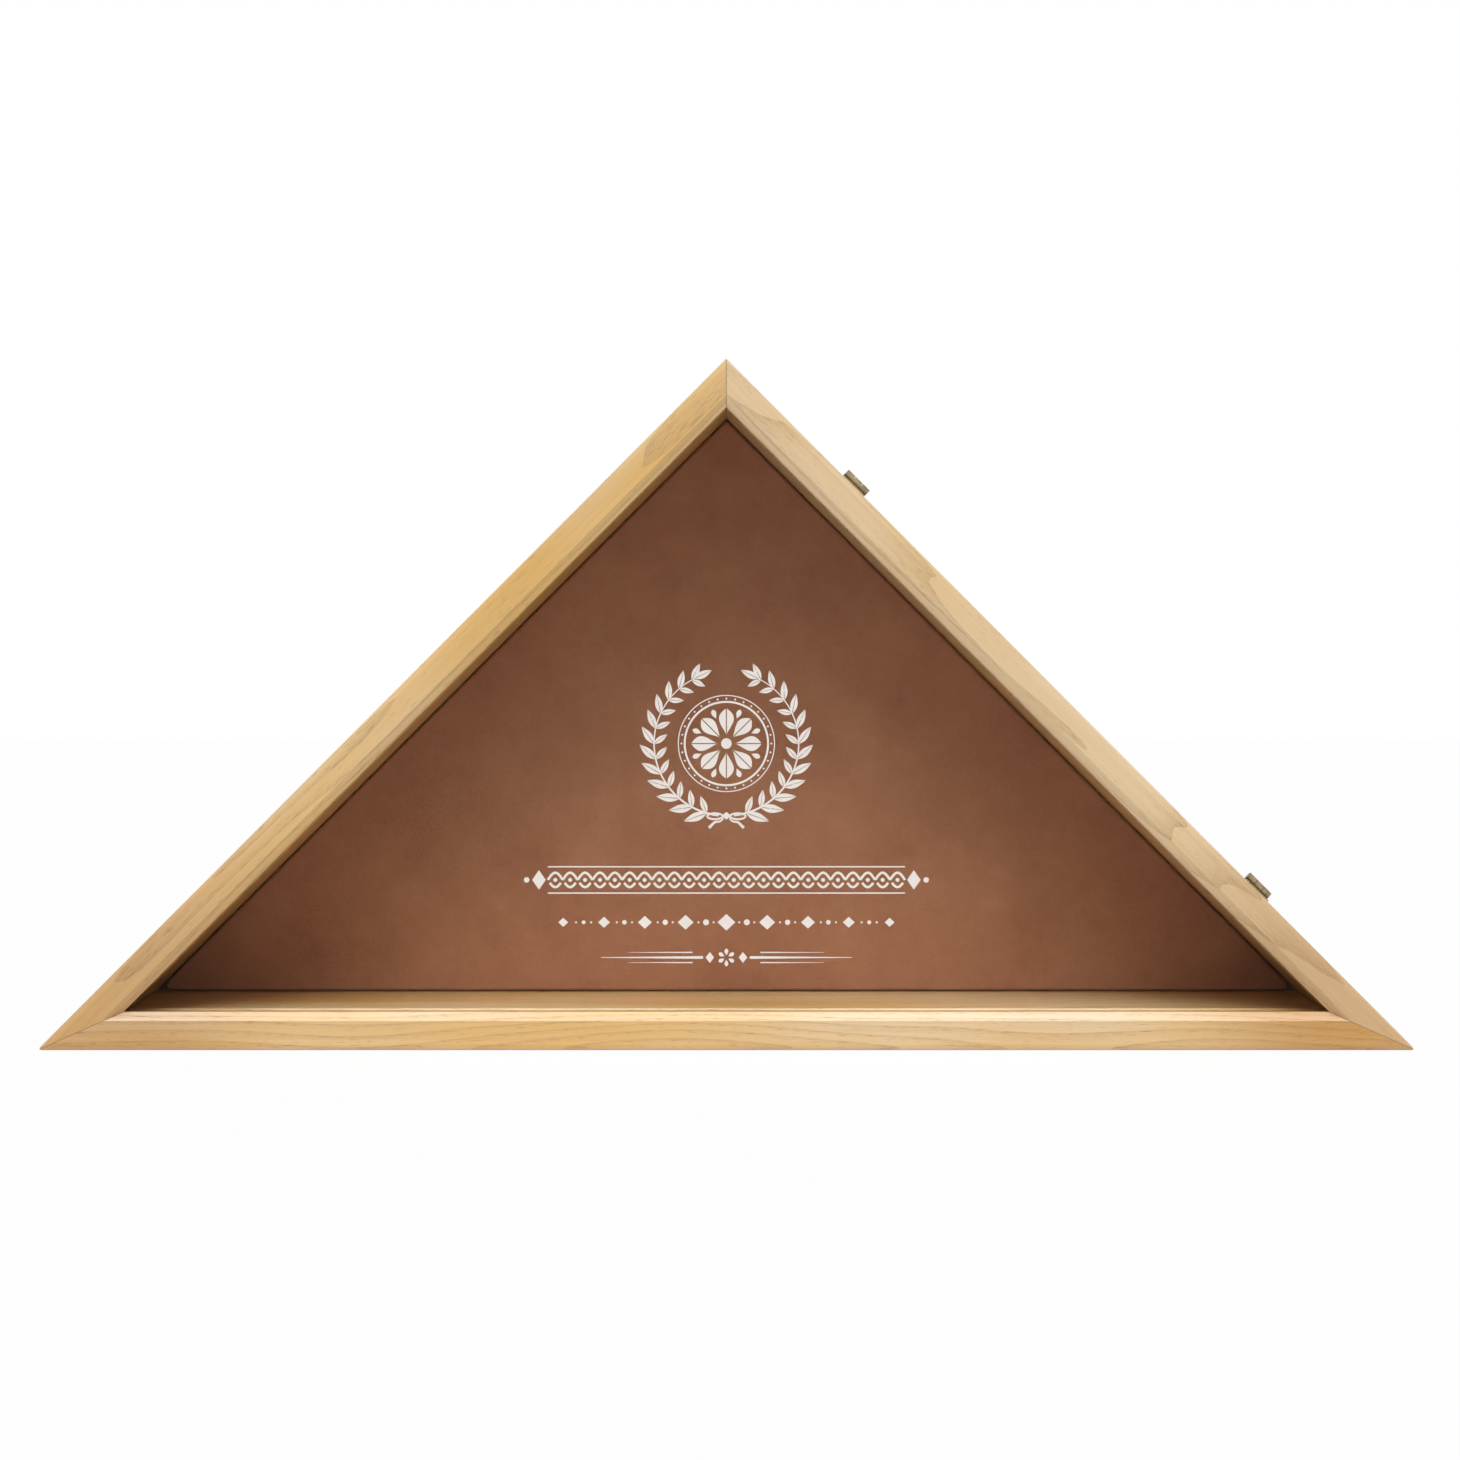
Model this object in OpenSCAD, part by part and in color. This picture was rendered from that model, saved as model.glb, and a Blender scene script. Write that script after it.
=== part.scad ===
// Triangular display case for a folded flag. It stands on its long side or
// hangs on a wall. A glazed door covers the whole front and swings up and over
// on two butt hinges on the right-hand leg, and disc magnets hold it shut.
//
// X runs along the base, +Y to the back and +Z up. The origin is in the middle
// of the underside, half way through the depth.

/* [Case] */
// Length of the base between its sharp corners
case_w = 648; // [560:1:760]
// Thickness of the two sloping boards, and width of the door rails over them
leg_t = 16; // [14:0.5:22]
// Thickness of the base board, and width of the door rail over it
base_t = 18; // [15:0.5:24]
// Depth of the three boards, from front edge to back edge
body_d = 85; // [70:1:120]
// Rounding of the three outer corners
corner_r = 1; // [0.5:0.25:2]
// Easing of the long edges where the boards and the door meet
arris = 0.6; // [0.3:0.1:1]

/* [Corner joints] */
// Thickness of the splines in the case's mitres
spline_t = 3; // [2:0.5:4]
// Width of the splines, half in each board
spline_w = 12; // [8:0.5:13]
// How far the splines stop short of the front edge and of the back seat
spline_stop = 8; // [4:1:15]

/* [Door] */
// Thickness of the door rails, from front to back
door_t = 16; // [14.5:0.5:22]
// Gap between the door and the front edges of the boards
door_gap = 0.6; // [0.4:0.1:1.2]
// Radius of the rounded outer edge of the door's face
face_r = 3; // [1:0.5:4]
// Width of the bevel round the sight edge, seen from the front
bevel_w = 4; // [2:0.5:5]
// Depth of that bevel
bevel_d = 3; // [1:0.5:4]

/* [Glazing] */
// Width of the rebate that holds the glass
rebate_w = 6; // [5:0.5:7]
// Depth of that rebate from the back of the door
rebate_d = 9; // [8.6:0.2:10.4]
// Thickness of the glass
glass_t = 3; // [2:0.5:3]
// Gap between the edge of the glass and the rebate
glass_gap = 1; // [0.5:0.25:2]
// Length cut off each sharp corner of a flat panel
tip_cut = 4; // [2:0.5:8]
// Width of the stop strips behind the glass
stop_w = 5.5; // [4:0.25:5.5]
// Thickness of the stop strips
stop_t = 5.5; // [4:0.25:5.5]
// Radius of the rounded edge of the stop strips
stop_r = 3; // [1:0.5:3.5]

/* [Back] */
// Thickness of the back panel
panel_t = 9; // [8:0.5:10]
// Width of the seat round the back panel
seat_w = 8; // [6:0.5:10]
// How far the back panel lies below the back edges of the boards
panel_sink = 2; // [1.8:0.1:3]
// Gap round the edge of the back panel
panel_gap = 0.5; // [0.2:0.1:1]
// Thickness of the velvet-covered backing board
backing_t = 4; // [3:0.5:6]
// Gap round the edge of the backing board
backing_gap = 0.6; // [0.3:0.1:1.5]

/* [Hangers] */
// Distance between the two keyhole hangers
hanger_pitch = 203.2; // [150:0.1:230]
// Distance from a hanger's top corner straight up to the panel's edge
hanger_edge = 12; // [4:1:30]
// Width of a hanger plate
hanger_w = 16; // [14:0.5:18]
// Length of a hanger plate
hanger_l = 44; // [42:1:50]
// Thickness of a hanger plate
hanger_t = 1.5; // [1:0.1:1.7]
// Radius of the hole that a screw head passes
keyhole_r = 5; // [4:0.25:5.5]
// Radius of the slot that the screw's neck slides up
neck_r = 2.4; // [2:0.1:3]
// Travel of a screw in a keyhole
keyhole_l = 11; // [9:0.5:12]
// Depth of the pocket behind a keyhole
pocket_d = 5.5; // [4.5:0.25:6.5]
// Distance of a hanger's screws from the ends of its plate
hanger_screw_in = 5; // [4:0.5:6]

/* [Hinges] */
// Length of a hinge along its pin
hinge_l = 14; // [13:1:30]
// Width of a hinge leaf from the pin to its far edge
leaf_w = 10; // [8.5:0.5:12]
// Thickness of a hinge leaf
leaf_t = 0.9; // [0.7:0.1:1.2]
// Outer diameter of the knuckles
knuckle_d = 4.4; // [4:0.1:5.5]
// Diameter of the hinge pins
pin_d = 2; // [1.6:0.1:2.4]
// Distance of the upper hinge's middle from the apex, along the leg
upper_hinge_at = 84; // [60:1:160]
// Distance of the lower hinge's middle from the bottom corner, along the leg
lower_hinge_at = 105; // [80:1:160]
// Distance of a hinge's screws from its pin
hinge_screw_at = 6.3; // [5:0.1:7]
// Distance of a hinge's screws from the ends of its leaves
hinge_screw_in = 3.8; // [3:0.1:4.5]

/* [Fasteners] */
// Distance of the magnets from the ends of the left-hand leg
magnet_in = 120; // [90:5:180]
// Diameter of the magnets
magnet_d = 6; // [4:0.5:7]
// Thickness of the magnets
magnet_t = 2.5; // [2:0.5:4]
// Distance of the back panel's screws from the ends of each side
panel_screw_in = 90; // [75:5:150]
// Shank diameter of the back panel's screws
panel_screw_d = 2.8; // [2.2:0.1:3.2]
// Length of the back panel's screws under the head
panel_screw_l = 18; // [14:1:22]
// Shank diameter of the hinge and hanger screws
small_screw_d = 1.9; // [1.6:0.1:2.2]
// Length of the hinge screws, head included
hinge_screw_l = 8; // [6:0.5:8.5]
// Length of the hanger screws, head included
hanger_screw_l = 8; // [6:0.5:9]
// Distance of the stop strips' brads from the ends of each side
brad_in = 62; // [55:1:80]
// Diameter of the brads in the stop strips
brad_d = 1; // [0.8:0.1:1.4]
// Length of those brads
brad_l = 11; // [9:0.5:12]
// Length of each wing of the V nails in the door's mitres
v_wing = 4; // [3:0.5:5]
// Depth of the V nails in the wood
v_depth = 6; // [4:0.5:8]

/* [Hidden] */
$fn = 64;

// The sides in order round the triangle, each from its first corner.
BASE = 0;
RIGHT = 1;
LEFT = 2;
SIDES = [BASE, RIGHT, LEFT];
side_angle = [0, 135, 225];
corner_angle = [45, 45, 90];
half_w = case_w / 2;
side_l = [case_w, case_w / sqrt(2), case_w / sqrt(2)];
board_t = [base_t, leg_t, leg_t];

snug = 0.03;     // clearance round what is glued, driven or pressed in
running = 0.05;  // clearance of a turning pin
air = 0.3;       // clearance between a turning curve and what it passes
over = 1;        // how far a cutter runs past a face
reach = case_w;  // inwards, past the far corner from any side

// Depths, from the front face of the door to the back edges of the boards.
depth = door_t + door_gap + body_d;
front_y = -depth / 2;
door_back = front_y + door_t;
parting_y = door_back + door_gap / 2;
case_front = door_back + door_gap;
case_back = depth / 2;
glass_y = door_back - rebate_d;
stop_y = glass_y + glass_t;
panel_y = case_back - panel_sink - panel_t;
panel_back = panel_y + panel_t;

// Middle of the back face of each door rail, and of each side of the seat,
// in from the outer face.
rail_mid = [for (t = board_t) (t - rebate_w) / 2];
seat_mid = [for (t = board_t) t - seat_w / 2];

// Places along each side of what holds the panel and the stops.
panel_screw_at = [for (l = side_l) [panel_screw_in, l / 2, l - panel_screw_in]];
brad_at = [for (l = side_l) [brad_in, l / 2, l - brad_in]];
magnet_at = [magnet_in, side_l[LEFT] - magnet_in];
magnet_z = rail_mid[LEFT];

// The hangers' plates hang from the slope of the panel's upper edge.
panel_in = leg_t - seat_w + panel_gap;
hanger_top = half_w - panel_in * sqrt(2) - (hanger_pitch + hanger_w) / 2 - hanger_edge;
hanger_z = hanger_top - hanger_l / 2;
hanger_screw_z = hanger_l / 2 - hanger_screw_in;
pocket_ease = 1;
pocket_r = keyhole_r + pocket_ease;
hanger_head_r = small_screw_d / 2 + hanger_t * 0.75;

// Hinges: three knuckles, the outer two on the case's leaf.
HINGES = [0, 1];
UPPER = 0;
LOWER = 1;
hinge_at = [side_l[RIGHT] - upper_hinge_at, lower_hinge_at];
knuckle_r = knuckle_d / 2;
pin_off = knuckle_r + air;
knuckle_gap = 0.2;
knuckle_l = (hinge_l - 2 * knuckle_gap) / 3;
case_knuckles = [-hinge_l / 2, hinge_l / 2 - knuckle_l];
door_knuckles = [-knuckle_l / 2];
hinge_screw_x = hinge_l / 2 - hinge_screw_in;
hinge_head_r = small_screw_d / 2 + leaf_t * 0.85;
leaf_corner_r = 1.5;

panel_head_r = panel_screw_d;
panel_head_h = panel_sink * 0.8;
brad_sink = 0.5;
v_nail_t = 0.8;
v_sink = 0.5;
v_half_angle = 60;

// Corner i of the triangle whose legs lie leg_in, and whose base lies
// base_in, inside the outline: 0 is bottom left, 1 bottom right, 2 the apex.
function corner(i, leg_in, base_in) =
    i % 3 == 2 ? [0, half_w - leg_in * sqrt(2)]
    : [(i % 3 == 1 ? 1 : -1) * (half_w - base_in - leg_in * sqrt(2)), base_in];

// Point p pushed away from q, by the distance between them.
function beyond(p, q) = 2 * p - q;

// Unit vector along a side, in X and Z.
function along(side) = [cos(side_angle[side % 3]), sin(side_angle[side % 3])];

// Puts things on a side: X runs along it, Y is depth, and Z points inwards
// from its outer face.
module on_side(side) {
    start = corner(side, 0, 0);
    translate([start.x, 0, start.y]) rotate([0, -side_angle[side], 0]) children();
}

// An outline in X and Z, made into a slab from depth y0 to depth y1.
module slab(y0 = -depth, y1 = depth) {
    translate([0, y1, 0]) rotate([90, 0, 0]) linear_extrude(y1 - y0) children();
}

// A profile of depth against distance inwards, run along a whole side.
module run(side) {
    on_side(side) translate([-over, 0, 0]) rotate([90, 0, 90])
        linear_extrude(side_l[side] + 2 * over) children();
}

// What lies within a profile on all three sides, as if a cutter had gone
// round the glued-up frame. The profile starts legs_in and base_in inside.
module all_round(legs_in = 0, base_in = 0) {
    intersection() {
        run(BASE) translate([0, base_in]) children();
        run(RIGHT) translate([0, legs_in]) children();
        run(LEFT) translate([0, legs_in]) children();
    }
}

// Triangle inside the outline.
module triangle(leg_in, base_in) {
    polygon([for (i = [0:2]) corner(i, leg_in, base_in)]);
}

// Triangle for a flat panel, with its two sharp tips cut off.
module clipped_triangle(leg_in, base_in) {
    left = corner(0, leg_in, base_in);
    right = corner(1, leg_in, base_in);
    polygon([
        left + [tip_cut, 0], right - [tip_cut, 0], right + [-tip_cut, tip_cut],
        corner(2, leg_in, base_in), left + [tip_cut, tip_cut]
    ]);
}

// The whole outline, with its corners rounded.
module outline() {
    tangent = [for (a = corner_angle) corner_r / tan(a / 2)];
    polygon([
        for (i = [0:2], s = [-1, 1])
            corner(i, 0, 0) + s * tangent[i] * along(s < 0 ? i + 2 : i)
    ]);
    for (i = [0:2]) translate(corner(i, corner_r, corner_r)) circle(corner_r);
}

// Wedge between the mitres at the two ends of a side. Each mitre runs
// through the same corner of an outer and an inner triangle.
module mitre_wedge(side, outer, inner) {
    p = [for (i = [side, side + 1]) corner(i, outer[0], outer[1])];
    q = [for (i = [side, side + 1]) corner(i, inner[0], inner[1])];
    slab() polygon([
        beyond(p[0], q[0]), beyond(p[1], q[1]),
        beyond(q[1], p[1]), beyond(q[0], p[0])
    ]);
}

// Profile of an opening from y0 to y1 whose front edge is bevelled.
module opening_profile(y0, y1, wide, deep) {
    polygon([
        [y0 - over, -wide * (1 + over / deep)], [y0 + deep, 0],
        [y1 + over, 0], [y1 + over, reach], [y0 - over, reach]
    ]);
}

// Screws and brads point along +Z, from the top of a countersunk head or
// from the underside of a domed one at z = 0.
module countersunk_screw(d, l, head_r) {
    head_h = head_r - d / 2;
    difference() {
        union() {
            cylinder(h = head_h, r1 = head_r, r2 = d / 2);
            pointed_shank(d, l);
        }
        cross_recess(head_r * 0.55, head_h * 0.6);
    }
}

module domed_screw(d, l, head_r, head_h) {
    rim_r = head_h / 2;
    difference() {
        union() {
            pointed_shank(d, l);
            rotate_extrude() {
                translate([0, -head_h]) square([head_r - rim_r, head_h]);
                translate([0, rim_r - head_h]) square([head_r, head_h - rim_r]);
                translate([head_r - rim_r, rim_r - head_h]) circle(rim_r);
            }
        }
        translate([0, 0, -head_h]) cross_recess(head_r * 0.5, head_h * 0.6);
    }
}

module pointed_shank(d, l) {
    cylinder(h = l - d, r = d / 2);
    translate([0, 0, l - d]) cylinder(h = d, r1 = d / 2, r2 = d / 10);
}

module cross_recess(arm, deep) {
    for (a = [0, 90])
        rotate(a) translate([-arm, -arm / 5, -over])
            cube([2 * arm, arm * 0.4, over + deep]);
}

// Straight hole for a screw or brad, with its mouth at z = 0.
module pilot_hole(d, l) {
    translate([0, 0, -over]) cylinder(h = l + over + air, r = d / 2 + snug);
}

// ---- Case ----

module panel_screw_sites() {
    for (side = SIDES, x = panel_screw_at[side])
        on_side(side) translate([x, panel_back, seat_mid[side]])
            rotate([90, 0, 0]) children();
}

module corner_spline(i, grow = 0) {
    middle = corner(i, leg_t / 2, base_t / 2);
    lean = atan2(middle.y - corner(i, 0, 0).y, middle.x - corner(i, 0, 0).x);
    slab(case_front + spline_stop - grow, panel_y - spline_stop + grow)
        translate(middle) rotate(lean)
            square([spline_t + 2 * grow, spline_w + 2 * grow], center = true);
}

module magnet_sites(y) {
    for (x = magnet_at)
        on_side(LEFT) translate([x, y, magnet_z]) rotate([-90, 0, 0]) children();
}

// The three glued-up boards, with the seat cut round their back edge.
module carcass() {
    difference() {
        intersection() {
            all_round() polygon([
                [case_front + arris, 0], [case_back - arris, 0],
                [case_back, arris], [case_back, reach],
                [case_front, reach], [case_front, arris]
            ]);
            slab() outline();
        }
        all_round(leg_t, base_t) opening_profile(case_front, case_back, arris, arris);
        slab(panel_y, case_back + over) triangle(leg_t - seat_w, base_t - seat_w);
    }
}

module board(side) {
    color("burlywood") difference() {
        intersection() {
            carcass();
            mitre_wedge(side, [0, 0], [leg_t, base_t]);
        }
        for (i = [side, side + 1]) corner_spline(i % 3, snug);
        panel_screw_sites() pilot_hole(panel_screw_d, panel_screw_l);
        if (side == LEFT) magnet_sites(case_front) magnet_pocket(over);
        if (side == RIGHT) hinge_screw_sites(1) pilot_hole(small_screw_d, hinge_screw_l);
    }
}

// Pocket for a magnet, open towards the gap at the door.
module magnet_pocket(below) {
    translate([0, 0, -below]) cylinder(h = magnet_t + over, r = magnet_d / 2 + snug);
}

module magnet() {
    color("silver") cylinder(h = magnet_t, r = magnet_d / 2);
}

module keyhole_sites() {
    for (s = [-1, 1])
        translate([s * hanger_pitch / 2, panel_back, hanger_z]) children();
}

module back_panel() {
    color("tan") difference() {
        slab(panel_y, panel_back)
            clipped_triangle(panel_in, base_t - seat_w + panel_gap);
        panel_screw_sites() pilot_hole(panel_screw_d, panel_screw_l);
        keyhole_sites() {
            rotate([90, 0, 0]) translate([0, 0, -over])
                linear_extrude(pocket_d + over) slot_shape(pocket_r, keyhole_l);
            hanger_screw_ends() pilot_hole(small_screw_d, hanger_screw_l);
        }
    }
}

// Slot with round ends, keyhole_l between their middles.
module slot_shape(r, l) {
    square([2 * r, l], center = true);
    for (s = [-1, 1]) translate([0, s * l / 2]) circle(r);
}

module back_panel_screws() {
    color("silver") panel_screw_sites()
        domed_screw(panel_screw_d, panel_screw_l, panel_head_r, panel_head_h);
}

module velvet_backing() {
    color("sienna") slab(panel_y - backing_t, panel_y)
        clipped_triangle(leg_t + backing_gap, base_t + backing_gap);
}

module hanger_screw_ends() {
    for (s = [-1, 1])
        translate([0, hanger_t, s * hanger_screw_z]) rotate([90, 0, 0]) children();
}

module hanger(s) {
    color("silver") translate([s * hanger_pitch / 2, panel_back, hanger_z]) difference() {
        slab(0, hanger_t) difference() {
            slot_shape(hanger_w / 2, hanger_l - hanger_w);
            translate([0, -keyhole_l / 2]) circle(keyhole_r);
            slot_shape(neck_r, keyhole_l);
        }
        hanger_screw_ends() countersink(small_screw_d, hanger_t, hanger_head_r);
    }
}

// Countersunk hole through a plate, from z = 0.
module countersink(d, t, head_r) {
    cylinder(h = head_r - d / 2, r1 = head_r + snug, r2 = d / 2 + snug);
    translate([0, 0, -over]) cylinder(h = t + 2 * over, r = d / 2 + snug);
}

module hanger_screws() {
    color("silver") keyhole_sites() hanger_screw_ends()
        countersunk_screw(small_screw_d, hanger_screw_l, hanger_head_r);
}

module case_magnets() {
    magnet_sites(case_front) magnet();
}

// ---- Hinges ----

// A hinge's own frame: X along the pin, Y to the back and Z into the wood,
// from the middle of the pin.
module at_hinge(which) {
    on_side(RIGHT) translate([hinge_at[which], parting_y, -pin_off]) children();
}

// Places of a leaf's screws, from its outer face. The case's leaf goes
// back from the pin, way = 1, and the door's goes forward, way = -1.
module leaf_screws(way) {
    for (s = [-1, 1])
        translate([s * hinge_screw_x, way * hinge_screw_at, pin_off - leaf_t]) children();
}

module hinge_screw_sites(way) {
    for (which = HINGES) at_hinge(which) leaf_screws(way) children();
}

module hinge_leaf(way, knuckles, bore_r) {
    root = knuckle_r + air;
    color("peru") difference() {
        union() {
            translate([0, 0, pin_off - leaf_t]) linear_extrude(leaf_t) mirror([0, way < 0 ? 1 : 0]) {
                leaf_outline(root);
                for (x = knuckles) translate([x, 0]) square([knuckle_l, root + over]);
            }
            for (x = knuckles)
                translate([x, 0, 0]) rotate([0, 90, 0]) cylinder(h = knuckle_l, r = knuckle_r);
        }
        translate([-hinge_l, 0, 0]) rotate([0, 90, 0]) cylinder(h = 2 * hinge_l, r = bore_r);
        leaf_screws(way) countersink(small_screw_d, leaf_t, hinge_head_r);
    }
}

module leaf_outline(root) {
    far = leaf_w - leaf_corner_r;
    side = hinge_l / 2 - leaf_corner_r;
    translate([-hinge_l / 2, root]) square([hinge_l, far - root]);
    translate([-side, root]) square([2 * side, leaf_w - root]);
    for (s = [-1, 1]) translate([s * side, far]) circle(leaf_corner_r);
}

module hinge_pin() {
    ease = pin_d / 8;
    color("peru") rotate([0, 90, 0]) {
        translate([0, 0, ease - hinge_l / 2]) cylinder(h = hinge_l - 2 * ease, r = pin_d / 2);
        for (s = [0, 1]) mirror([0, 0, s])
            translate([0, 0, hinge_l / 2 - ease])
                cylinder(h = ease, r1 = pin_d / 2, r2 = pin_d / 2 - ease);
    }
}

module case_leaf(which) {
    at_hinge(which) hinge_leaf(1, case_knuckles, pin_d / 2 + snug);
}

module door_leaf(which) {
    at_hinge(which) hinge_leaf(-1, door_knuckles, pin_d / 2 + running);
}

module hinge_screws(way) {
    color("peru") hinge_screw_sites(way)
        countersunk_screw(small_screw_d, hinge_screw_l, hinge_head_r);
}

// ---- Door ----

// The three glued-up rails, rounded outside and bevelled at the sight edge.
module door_frame() {
    difference() {
        intersection() {
            all_round() {
                polygon([
                    [front_y + face_r, 0], [door_back - arris, 0],
                    [door_back, arris], [door_back, reach],
                    [front_y, reach], [front_y, face_r]
                ]);
                translate([front_y + face_r, face_r]) circle(face_r);
            }
            slab() outline();
        }
        all_round(leg_t, base_t) opening_profile(front_y, door_back, bevel_w, bevel_d);
        slab(glass_y, door_back + over) triangle(leg_t - rebate_w, base_t - rebate_w);
    }
}

module rail(side) {
    color("burlywood") difference() {
        intersection() {
            door_frame();
            mitre_wedge(side, [0, 0], [leg_t, base_t]);
        }
        for (i = [side, side + 1]) v_nail(i % 3, snug);
        brad_sites(side) pilot_hole(brad_d, brad_l);
        if (side == LEFT) magnet_sites(door_back - magnet_t) magnet_pocket(0);
        if (side == RIGHT) hinge_screw_sites(-1) pilot_hole(small_screw_d, hinge_screw_l);
    }
}

// A V nail straddles the mitre, with its bend towards the corner.
module v_nail(i, grow = 0) {
    middle = corner(i, rail_mid[LEFT], rail_mid[BASE]);
    lean = atan2(middle.y - corner(i, 0, 0).y, middle.x - corner(i, 0, 0).x);
    half_t = v_nail_t / 2 + grow;
    slab(door_back - v_sink - v_depth - grow, door_back - v_sink + (grow > 0 ? over : 0))
        translate(middle) rotate(lean) {
            circle(half_t);
            for (s = [-1, 1])
                rotate(s * v_half_angle) translate([0, -half_t]) square([v_wing + grow, 2 * half_t]);
        }
}

module door_v_nails() {
    color("silver") for (i = [0:2]) v_nail(i);
}

module glass_pane() {
    edge = glass_gap - rebate_w;
    color("lightcyan", 0.4) slab(glass_y, stop_y)
        clipped_triangle(leg_t + edge, base_t + edge);
}

module glass_stop(side) {
    outer = [leg_t, base_t] - [rebate_w, rebate_w];
    color("burlywood") difference() {
        intersection() {
            run(side) translate([stop_y, board_t[side] - rebate_w]) stop_profile();
            mitre_wedge(side, outer, outer + [stop_w, stop_w]);
        }
        brad_sites(side) pilot_hole(brad_d, brad_l);
    }
}

// Strip with one rounded edge.
module stop_profile() {
    polygon([
        [0, 0], [stop_t, 0], [stop_t, stop_w - stop_r],
        [stop_t - stop_r, stop_w], [0, stop_w]
    ]);
    intersection() {
        square([stop_t, stop_w]);
        translate([stop_t - stop_r, stop_w - stop_r]) circle(stop_r);
    }
}

// Places of the brads in one stop, pointing out through it into the rail.
module brad_sites(side) {
    for (x = brad_at[side])
        on_side(side)
            translate([x, stop_y + stop_t * 0.4, board_t[side] - rebate_w + stop_w - brad_sink])
                rotate([180, 0, 0]) children();
}

module glass_stop_brads() {
    color("silver") for (side = SIDES) brad_sites(side) pointed_shank(brad_d, brad_l);
}

module door_magnets() {
    magnet_sites(door_back - magnet_t) magnet();
}

board(BASE);  // base_board
board(LEFT);  // left_side_board
board(RIGHT);  // right_side_board
color("tan") corner_spline(2);  // apex_spline
color("tan") corner_spline(0);  // left_corner_spline
color("tan") corner_spline(1);  // right_corner_spline
back_panel();
back_panel_screws();
velvet_backing();
hanger(-1);  // left_hanger
hanger(1);  // right_hanger
hanger_screws();
case_magnets();
case_leaf(UPPER);  // upper_hinge_case_leaf
case_leaf(LOWER);  // lower_hinge_case_leaf
at_hinge(UPPER) hinge_pin();  // upper_hinge_pin
at_hinge(LOWER) hinge_pin();  // lower_hinge_pin
hinge_screws(1);  // case_hinge_screws
rail(BASE);  // door_base_rail
rail(LEFT);  // door_left_rail
rail(RIGHT);  // door_right_rail
door_v_nails();
glass_pane();
glass_stop(BASE);  // base_glass_stop
glass_stop(LEFT);  // left_glass_stop
glass_stop(RIGHT);  // right_glass_stop
glass_stop_brads();
door_magnets();
door_leaf(UPPER);  // upper_hinge_door_leaf
door_leaf(LOWER);  // lower_hinge_door_leaf
hinge_screws(-1);  // door_hinge_screws
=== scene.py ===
"""Finishes a triangular flag display case: oak boards, velvet, glass with an
etched ornament, brass hinges and steel fasteners, on a plain white stage.

Sizes are in metres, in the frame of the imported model: X runs along the base,
Y to the back and Z up."""

import math

import bmesh
import bpy
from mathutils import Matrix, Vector


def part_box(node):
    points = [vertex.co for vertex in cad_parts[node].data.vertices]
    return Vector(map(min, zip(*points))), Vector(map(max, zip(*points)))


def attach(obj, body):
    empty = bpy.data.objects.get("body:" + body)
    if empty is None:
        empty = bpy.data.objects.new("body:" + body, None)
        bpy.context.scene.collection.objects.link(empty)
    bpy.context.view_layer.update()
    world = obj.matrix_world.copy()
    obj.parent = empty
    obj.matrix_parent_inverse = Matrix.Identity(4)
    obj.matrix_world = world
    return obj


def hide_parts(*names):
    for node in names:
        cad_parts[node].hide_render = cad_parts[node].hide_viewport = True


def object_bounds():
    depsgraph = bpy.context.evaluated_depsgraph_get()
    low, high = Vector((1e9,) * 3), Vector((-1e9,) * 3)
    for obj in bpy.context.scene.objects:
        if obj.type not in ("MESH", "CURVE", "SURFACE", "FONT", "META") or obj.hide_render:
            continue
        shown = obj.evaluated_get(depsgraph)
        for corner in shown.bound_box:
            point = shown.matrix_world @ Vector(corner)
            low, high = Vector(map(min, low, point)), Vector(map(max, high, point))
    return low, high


bl_info = {
    "name": "Flag Display Case",
    "version": (1, 0, 0),
    "blender": (4, 5, 0),
    "location": "3D View > Sidebar > Flag Case",
    "description": "Finishes, etches and lights a triangular display case",
    "category": "Object",
}

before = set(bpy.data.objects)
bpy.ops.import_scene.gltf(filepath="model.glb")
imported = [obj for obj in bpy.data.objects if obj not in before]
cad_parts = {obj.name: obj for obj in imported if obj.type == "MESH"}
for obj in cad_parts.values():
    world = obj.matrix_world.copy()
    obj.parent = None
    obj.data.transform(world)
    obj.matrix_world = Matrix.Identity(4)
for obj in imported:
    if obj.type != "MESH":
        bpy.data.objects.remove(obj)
CAD_BOX = [list(corner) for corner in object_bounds()]
MM = 0.001

# Each side's name, the turn about Y that lays its length along X, the share
# of gold in its wood, and the mitres at its ends.
SIDES = (
    ("base", 0, 0.36, ("Corners",)),
    ("right", 135, 0.08, ("Corners", "Apex")),
    ("left", 225, 0.80, ("Corners", "Apex")),
)

# Every wooden piece is cut from its own numbered place in the wood, and the
# step is the way in millimetres from one place to the next.
PLACE_STEP = (137.0, 53.0, 29.0)
FIRST_BOARD, SPLINES, FIRST_RAIL, FIRST_STOP = 1, 4, 5, 8


# ---------------------------------------------------------------- settings

def colour_property(name, description, default):
    return bpy.props.FloatVectorProperty(
        name=name, description=description, default=default,
        subtype="COLOR", size=3, min=0, max=1,
    )


def length_property(name, description, default):
    return bpy.props.FloatProperty(
        name=name, description=description, default=default, min=0, unit="LENGTH",
    )


def share_property(name, description, default):
    return bpy.props.FloatProperty(
        name=name, description=description, default=default,
        min=0, max=1, subtype="FACTOR",
    )


def strength_property(name, description, default):
    return bpy.props.FloatProperty(
        name=name, description=description, default=default, min=0,
    )


def angle_property(name, description, degrees):
    return bpy.props.FloatProperty(
        name=name, description=description, default=math.radians(degrees),
        subtype="ANGLE",
    )


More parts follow.
